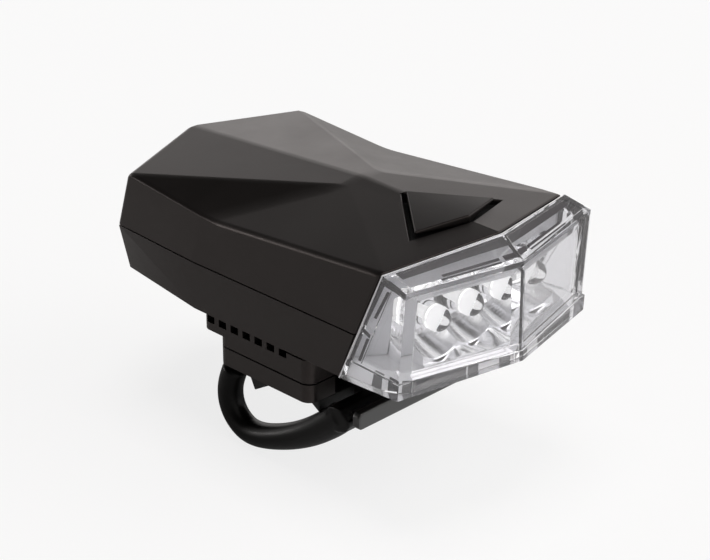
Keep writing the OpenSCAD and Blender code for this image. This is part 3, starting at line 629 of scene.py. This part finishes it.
lens = Shell()
recess(lens, (top_back, side_back, corner_top, nose_top), TOP_WINDOW, TOP_DEPTH)
recess(lens, (nose_top, corner_top, corner_band, nose_band), FRONT_WINDOW, FRONT_DEPTH)
recess(lens, (corner_top, side_back, side_band, corner_band), SIDE_WINDOW, SIDE_DEPTH)
lens.both(corner_band, side_band, side_out, corner_out)
lens.both(nose_band, corner_band, corner_out, nose_out)
lens.both(corner_out, side_out, side_low, corner_foot)
lens.both(nose_out, corner_out, corner_foot, nose_foot)
lens.both(nose_foot, corner_foot, hollow_low, hollow_nose_low)
lens.both(corner_foot, side_low, hollow_side_low, hollow_low)
lens.both(side_back, hollow_side_top, hollow_side_low, side_low, side_out, side_band)
lens.both(top_back, hollow_back_top, hollow_side_top, side_back)
lens.both(hollow_back_top, hollow_nose_top, hollow_top, hollow_side_top)
lens.both(hollow_nose_top, hollow_nose_low, hollow_low, hollow_top)
lens.both(hollow_top, hollow_low, hollow_side_low, hollow_side_top)


def lens_edges(e, angle, mid):
    """Thick throats along the hollow's edges, a flat down its nose, a fine radius along the outer edges."""
    ends = [Vector((-abs(v.co.x), v.co.y, v.co.z)) / MM for v in e.verts]

    def joins(one, two):
        return any((p - one).length < SAME_POINT and (q - two).length < SAME_POINT
                   for p, q in (ends, ends[::-1]))

    if joins(hollow_top, hollow_low):
        return 1.0
    if joins(hollow_top, hollow_nose_top) or joins(hollow_top, hollow_side_top):
        return LENS_COVE / LENS_THROAT
    if joins(hollow_nose_top, hollow_nose_low):
        return NOSE_FLAT / LENS_THROAT
    return LENS_EDGE / LENS_THROAT if angle > LENS_EDGE_ANGLE else 0.0


lens_bm = bmesh.new()
lens_bm.from_mesh(lens.mesh("lens"))
make("lens_shell", bevelled(lens_bm, LENS_THROAT, lens_edges, 1), "light", LENS, ("lens",), angle=12,
     flat_weight=False)

# Bezel: pale surround from the reflector's rim to the lens's open back, its plastic darker than the tray's as
# painted shade
SEAT = 0.02
CUP_HALF, CUP_LOW, CUP_MID, CUP_TOP = 18.25, 15.4, 22.0, 28.8
BEZEL_BACK, BEZEL_T = 0.3, 0.5
TRAY_Z, TRAY_GAP, NOSE_GAP, LEDGE, LEDGE_Z = 15.2, 0.2, 0.4, 1.1, 14.05
bezel = Shell()
outer = [hollow_back_top, hollow_side_top, at_height(hollow_side_low, hollow_side_top, CUP_MID),
         at_height(hollow_side_low, hollow_side_top, TRAY_Z)]
outer = [p + Vector((0, BEZEL_BACK, 0)) for p in outer]
inner = [Vector((0, -30.5, CUP_TOP)), Vector((-CUP_HALF, -28.5, CUP_TOP)), Vector((-CUP_HALF, -26.5, CUP_MID)),
         Vector((-CUP_HALF, -25.3, CUP_LOW))]
thick = Vector((0, BEZEL_T, 0))
for k in range(3):
    bezel.both(outer[k], outer[k + 1], inner[k + 1], inner[k])
    bezel.both(inner[k] + thick, inner[k + 1] + thick, outer[k + 1] + thick, outer[k] + thick)
    bezel.both(inner[k], inner[k + 1], inner[k + 1] + thick, inner[k] + thick)
    bezel.both(outer[k + 1], outer[k], outer[k] + thick, outer[k + 1] + thick)
bezel.both(outer[3], inner[3], inner[3] + thick, outer[3] + thick)
# its flange lies between the rim of the lens's back and the gasket
flange_out = [top_back, side_back, side_low]
flange_in = [hollow_back_top, hollow_side_top, hollow_side_low]
fore, aft = Vector((0, SEAT, 0)), Vector((0, FLANGE_T - SEAT, 0))
for k in range(2):
    a, b, c, d = flange_out[k], flange_out[k + 1], flange_in[k + 1], flange_in[k]
    bezel.both(a + fore, d + fore, c + fore, b + fore)
    bezel.both(a + aft, b + aft, c + aft, d + aft)
    bezel.both(a + fore, b + fore, b + aft, a + aft)
    bezel.both(c + fore, d + fore, d + aft, c + aft)
make("lamp_bezel", bezel.mesh("bezel"), "light", BEZEL)


# Tray along the lens's floor, its front corners cut for the lens's throats
def tray_ring(nose, corner, side, middle):
    """The tray's outline from the nose round to the middle of its back."""
    along_front, along_side = (nose - corner).normalized(), (side - corner).normalized()
    cut = LENS_THROAT + TRAY_GAP
    return [nose + Vector((0, NOSE_GAP, 0)), corner + along_front * cut + Vector((0, TRAY_GAP, 0)),
            corner + along_side * cut + Vector((TRAY_GAP, 0, 0)), side + Vector((TRAY_GAP, 0, 0)), middle]


def tray_ring_at(z):
    return tray_ring(at_height(hollow_nose_low, hollow_nose_top, z), at_height(hollow_low, hollow_top, z),
                     at_height(hollow_side_low, hollow_side_top, z), at_back(0, z))


tray_top, tray_mid = tray_ring_at(TRAY_Z), tray_ring_at(LEDGE_Z)
tray_low = tray_ring(hollow_nose_low, hollow_low, hollow_side_low, at_back(0, LENS_FLOOR))
for k in range(3):
    tray_top[k] = tray_top[k] + Vector((0, LEDGE, 0))
tray = Shell()
tray.both(*tray_top)
tray.both(*reversed(tray_low))
for k in range(4):
    tray.both(tray_top[k + 1], tray_top[k], tray_mid[k], tray_mid[k + 1])
    tray.both(tray_mid[k + 1], tray_mid[k], tray_low[k], tray_low[k + 1])
make("lamp_tray", tray.mesh("tray"), "light", TRAY)


def on_face(face, u, v):
    """A point of a four-cornered face by its shares across and down."""
    return face[0].lerp(face[1], u).lerp(face[3].lerp(face[2], u), v)


def patch(face, u0, u1, v0, v1):
    return [on_face(face, u, v) for u, v in ((u0, v0), (u1, v0), (u1, v1), (u0, v1))]


# Dark ribs along the tray's outer faces, behind the plinth
RIB_T, RIB_HEAD, RIB_FOOT = 0.1, 0.05, 0.99
tray_front = (tray_mid[1], tray_mid[0], tray_low[0], tray_low[1])
tray_side = (tray_mid[3], tray_mid[2], tray_low[2], tray_low[3])
tray_cut = (tray_mid[2], tray_mid[1], tray_low[1], tray_low[2])
ribs = Shell()
for face, start, end in ((tray_front, 0.0, 0.52), (tray_front, 0.54, 0.64), (tray_front, 0.85, 0.99),
                         (tray_cut, 0.35, 0.98), (tray_side, 0.7, 0.96)):
    ribs.rib(patch(face, start, end, RIB_HEAD, RIB_FOOT), RIB_T, SEAT)
make("bezel_ribs", ribs.mesh("ribs"), "light", RIB)

# Bright lip: a plated strip on the slope of the tray's front
STRIP_T = 0.08
lip = Shell()
lip.rib((tray_top[1], tray_top[0], tray_mid[0], tray_mid[1]), STRIP_T, SEAT)
make("reflector_lip", lip.mesh("lip"), "light", PLATED)

# Sealing beads in grooves of the lens's flange, along its sides and its top
BEAD_DEEP, BEAD_T = 0.55, 0.3
# upper end and lower end in Y and Z, and half width in Y
SIDE_BEADS = (((-29.5, 33.6), (-24.5, 23.4), 0.62), ((-30.9, 32.1), (-27.5, 25.7), 0.36),
              ((-23.7, 21.2), (-20.2, 13.4), 0.62), ((-25.7, 20.9), (-23.5, 15.6), 0.32))
CROSS_BEAD = ((-23.7, 22.8), (-26.3, 21.9), (-26.1, 21.2), (-23.5, 22.1))
# shares across and down the lens's top
TOP_BEADS = ((0.1, 0.985, 0.05, 0.36), (0.36, 0.84, 0.66, 0.74), (0.33, 0.84, 0.8, 0.86),
             (0.88, 0.985, 0.64, 0.8))
side_normal = (corner_top - side_back).cross(corner_low - side_back).normalized()


def on_side(y, z):
    """The point of the lens's left side at a place in Y and Z."""
    off = (y - side_back.y) * side_normal.y + (z - side_back.z) * side_normal.z
    return Vector((side_back.x - off / side_normal.x, y, z))


beads = Shell()
for (y0, z0), (y1, z1), half in SIDE_BEADS:
    beads.rib([on_side(y0 + half, z0), on_side(y0 - half, z0), on_side(y1 - half, z1), on_side(y1 + half, z1)],
              BEAD_T, -BEAD_DEEP)
beads.rib([on_side(y, z) for y, z in CROSS_BEAD], BEAD_T, -BEAD_DEEP)
for shares in TOP_BEADS:
    beads.rib(patch((side_back, top_back, nose_top, corner_top), *shares), BEAD_T, -BEAD_DEEP)
make("lens_beads", beads.mesh("beads"), "light", BEAD)

# Apron: bright scallops below the diodes, from the reflector's lower rim to the tray's front ledge
PITCH, APRON_HALF, APRON_RISE, APRON_LOW, APRON_T = 8.9, 17.8, 2.6, 0.5, 0.1
APRON_REAR, APRON_SWEEP, APRON_GAP = -27.0, 0.1, 0.1
COLS, ROWS = 80, 10


def apron_at(i, j, lift=True):
    """A point of the apron's scalloped top, or of its flat underside."""
    x = -APRON_HALF + 2 * APRON_HALF * i / COLS
    share = abs(x) / abs(tray_top[1].x)
    rear, front = APRON_REAR + APRON_SWEEP * abs(x), tray_top[0].lerp(tray_top[1], share).y + APRON_GAP
    v = j / ROWS
    ridge = (1 + math.cos(2 * math.pi * x / PITCH)) / 2
    rise = (APRON_RISE + (APRON_LOW - APRON_RISE) * v) * ridge + APRON_T if lift else 0.0
    return Vector((x, rear + (front - rear) * v, TRAY_Z + SEAT + rise))


apron = Shell()
for i in range(COLS):
    for j in range(ROWS):
        for lift in (True, False):
            apron.face(apron_at(i, j, lift), apron_at(i + 1, j, lift), apron_at(i + 1, j + 1, lift),
                       apron_at(i, j + 1, lift))
    for j in (0, ROWS):
        apron.face(apron_at(i, j), apron_at(i + 1, j), apron_at(i + 1, j, False), apron_at(i, j, False))
for j in range(ROWS):
    for i in (0, COLS):
        apron.face(apron_at(i, j), apron_at(i, j + 1), apron_at(i, j + 1, False), apron_at(i, j, False))
make("reflector_apron", apron.mesh("apron"), "light", MIRROR, angle=50)

# Diode cores: a pale cup on a stem inside the clear epoxy, with a faint glow that is painted light brightening
# them
LED_X, LED_Z, LED_FACE = (-13.35, -4.45, 4.45, 13.35), 23.4, -30.2
CORE_STEPS = ((0.5, 0.35), (0.35, 1.2), (0.0, 1.8), (0.3, 1.9), (1.0, 1.5), (1.4, 0.7), (4.9, 0.6))
CORE_SIDES = 24
cores = Shell()
for x in LED_X:
    cores.tube([(Vector((x, LED_FACE + y, LED_Z)), r, r) for y, r in CORE_STEPS], CORE_SIDES)
make("diode_cores", cores.mesh("cores"), "light", CORE, angle=50)


# Stage
def seen_rays(nt):
    """The light path's outputs, and 1 for what the eye sees, straight or through glass."""
    path = add_node(nt, "ShaderNodeLightPath").outputs
    return path, reckon(nt, "MAXIMUM", path["Is Camera Ray"], path["Is Transmission Ray"])


FLOOR_SIZE, FLOOR_GAP = 3.0, 0.0001
FADE_REACH, FADE_SHARE = (0.1, 0.7), (0.8, 0.945)
SHEEN_AT, SHEEN_REACH = Vector((0.005, -0.055, 0.0)), (0.025, 0.08)
MIRRORED_SHARE = 0.47


def floor_material():
    """Pale floor: near white to the eye with the object's shadow; in gloss, bright only before the lens."""
    mat, nt, bsdf = material("pale_floor")
    bsdf.inputs["Roughness"].default_value = 0.9
    bsdf.inputs["Specular IOR Level"].default_value = 0.1
    cloudy = add_node(nt, "ShaderNodeTexNoise", Scale=3.0).outputs["Fac"]
    nt.links.new(ramp(nt, cloudy, [(0.3, grey(0.78)), (0.7, grey(0.8))]), bsdf.inputs["Base Color"])
    path, seen = seen_rays(nt)
    place = add_node(nt, "ShaderNodeTexCoord").outputs["Object"]
    fade = map_range(nt, vector_value(nt, "LENGTH", place), FADE_REACH, FADE_SHARE)
    sheen = map_range(nt, vector_value(nt, "DISTANCE", place, SHEEN_AT), SHEEN_REACH, (1.0, 0.0))
    mirrored = reckon(nt, "SUBTRACT", path["Is Glossy Ray"], seen, clamp=True)
    near = reckon(nt, "MAXIMUM", sheen, MIRRORED_SHARE)
    part = reckon(nt, "MULTIPLY_ADD", mirrored, near, reckon(nt, "MULTIPLY", seen, fade))
    level = reckon(nt, "MULTIPLY_ADD", mirrored, sheen, seen)
    glow = add_node(nt, "ShaderNodeEmission", Color=(1, 1, 1, 1))
    nt.links.new(level, glow.inputs["Strength"])
    mix = add_node(nt, "ShaderNodeMixShader")
    nt.links.new(part, mix.inputs["Fac"])
    nt.links.new(bsdf.outputs["BSDF"], mix.inputs[1])
    nt.links.new(glow.outputs["Emission"], mix.inputs[2])
    nt.links.new(mix.outputs["Shader"], nt.nodes["Material Output"].inputs["Surface"])
    return mat


floor_z = cad_box[0][2] - FLOOR_GAP
floor_bm = bmesh.new()
bmesh.ops.create_grid(floor_bm, x_segments=1, y_segments=1, size=FLOOR_SIZE)
floor_mesh = bpy.data.meshes.new("floor")
floor_bm.to_mesh(floor_mesh)
floor_bm.free()
floor_mesh.materials.append(floor_material())
floor = link(bpy.data.objects.new("floor", floor_mesh))
floor.location.z = floor_z

# World: white to the eye and through glass; else a bright backdrop behind and to the right, dark overhead,
# and a broad soft light from the front
WORLD_HEIGHT = ((0.0, 0.7), (0.16, 0.66), (0.3, 0.36), (0.42, 0.165), (0.53, 0.07), (0.7, 0.005), (1.0, 0.02))
BACKDROP_SIDE, SIDE_SPAN, SIDE_LEVEL = Vector((0.74, 0.67, 0.0)), (-0.7, 0.7), (0.3, 2.4)
FRONT_SIDE, FRONT_LOBE = Vector((0.3, -0.8, 0.52)), ((0.3, 0.0), (0.65, 0.3), (0.9, 0.85))
WORLD_WARM, WORLD_WHITE = (1.0, 0.965, 0.95), 0.95


def studio_world():
    world = bpy.data.worlds.new("studio")
    world.use_nodes = True
    nt = world.node_tree
    background = nt.nodes["Background"]
    way = add_node(nt, "ShaderNodeTexCoord").outputs["Generated"]
    split = add_node(nt, "ShaderNodeSeparateXYZ")
    nt.links.new(way, split.inputs["Vector"])
    height = ramp(nt, split.outputs["Z"], [(at, grey(value)) for at, value in WORLD_HEIGHT])
    side = map_range(nt, vector_value(nt, "DOT_PRODUCT", way, BACKDROP_SIDE), SIDE_SPAN, SIDE_LEVEL)
    facing = vector_value(nt, "DOT_PRODUCT", way, FRONT_SIDE)
    lobe = ramp(nt, facing, [(at, grey(value)) for at, value in FRONT_LOBE])
    _, seen = seen_rays(nt)
    strength = add_node(nt, "ShaderNodeMix", data_type="FLOAT")
    strength.inputs[3].default_value = WORLD_WHITE
    nt.links.new(seen, strength.inputs[0])
    nt.links.new(reckon(nt, "ADD", reckon(nt, "MULTIPLY", height, side), lobe), strength.inputs[2])
    nt.links.new(strength.outputs[0], background.inputs["Strength"])
    nt.links.new(ramp(nt, seen, [(0.0, WORLD_WARM), (1.0, grey(1.0))]), background.inputs["Color"])
    return world


bpy.context.scene.world = studio_world()

# Lamps
LAMP_COLOUR = (1.0, 0.97, 0.955)


def area(name, location, target, size, power):
    data = bpy.data.lights.new(name, "AREA")
    data.shape = "RECTANGLE"
    data.size, data.size_y = size
    data.energy = power
    data.color = LAMP_COLOUR
    obj = link(bpy.data.objects.new(name, data))
    obj.location = location
    obj.visible_camera = False
    obj.rotation_euler = (Vector(target) - Vector(location)).to_track_quat("-Z", "Y").to_euler()
    return obj


area("front_right", (0.55, -0.75, 0.75), (0.05, -0.05, 0.0), (0.8, 0.8), 4.0)
overhead = area("overhead", (0.0, 0.0, 0.9), (0.0, 0.0, 0.0), (0.4, 0.4), 4.0)
overhead.visible_glossy = False
area("left_low", (-0.52, 0.84, 0.12), (0.0, 0.0, 0.0), (0.2, 0.1), 1.2)

# Camera at the photograph's viewing angle
AZIMUTH, ELEVATION = math.radians(-45.39), math.radians(26.01)
EYE = Vector((-0.3086, -0.3023, 0.2261))
FOCAL_PX, PHOTO_WIDTH_PX, SENSOR_MM, CLIP_START = 2461.4, 710, 36.0, 0.01
back = Vector((math.sin(AZIMUTH) * math.cos(ELEVATION), -math.cos(AZIMUTH) * math.cos(ELEVATION),
               math.sin(ELEVATION)))
right = Vector((math.cos(AZIMUTH), math.sin(AZIMUTH), 0))
turn = Matrix((right, back.cross(right), back)).transposed().to_4x4()
camera_data = bpy.data.cameras.new("camera")
camera_data.sensor_fit = "HORIZONTAL"
camera_data.sensor_width = SENSOR_MM
camera_data.lens = FOCAL_PX / PHOTO_WIDTH_PX * SENSOR_MM
camera_data.clip_start = CLIP_START
camera = link(bpy.data.objects.new("camera", camera_data))
camera.matrix_world = Matrix.Translation(EYE) @ turn
bpy.context.scene.camera = camera
bpy.context.scene.view_settings.view_transform = "Standard"
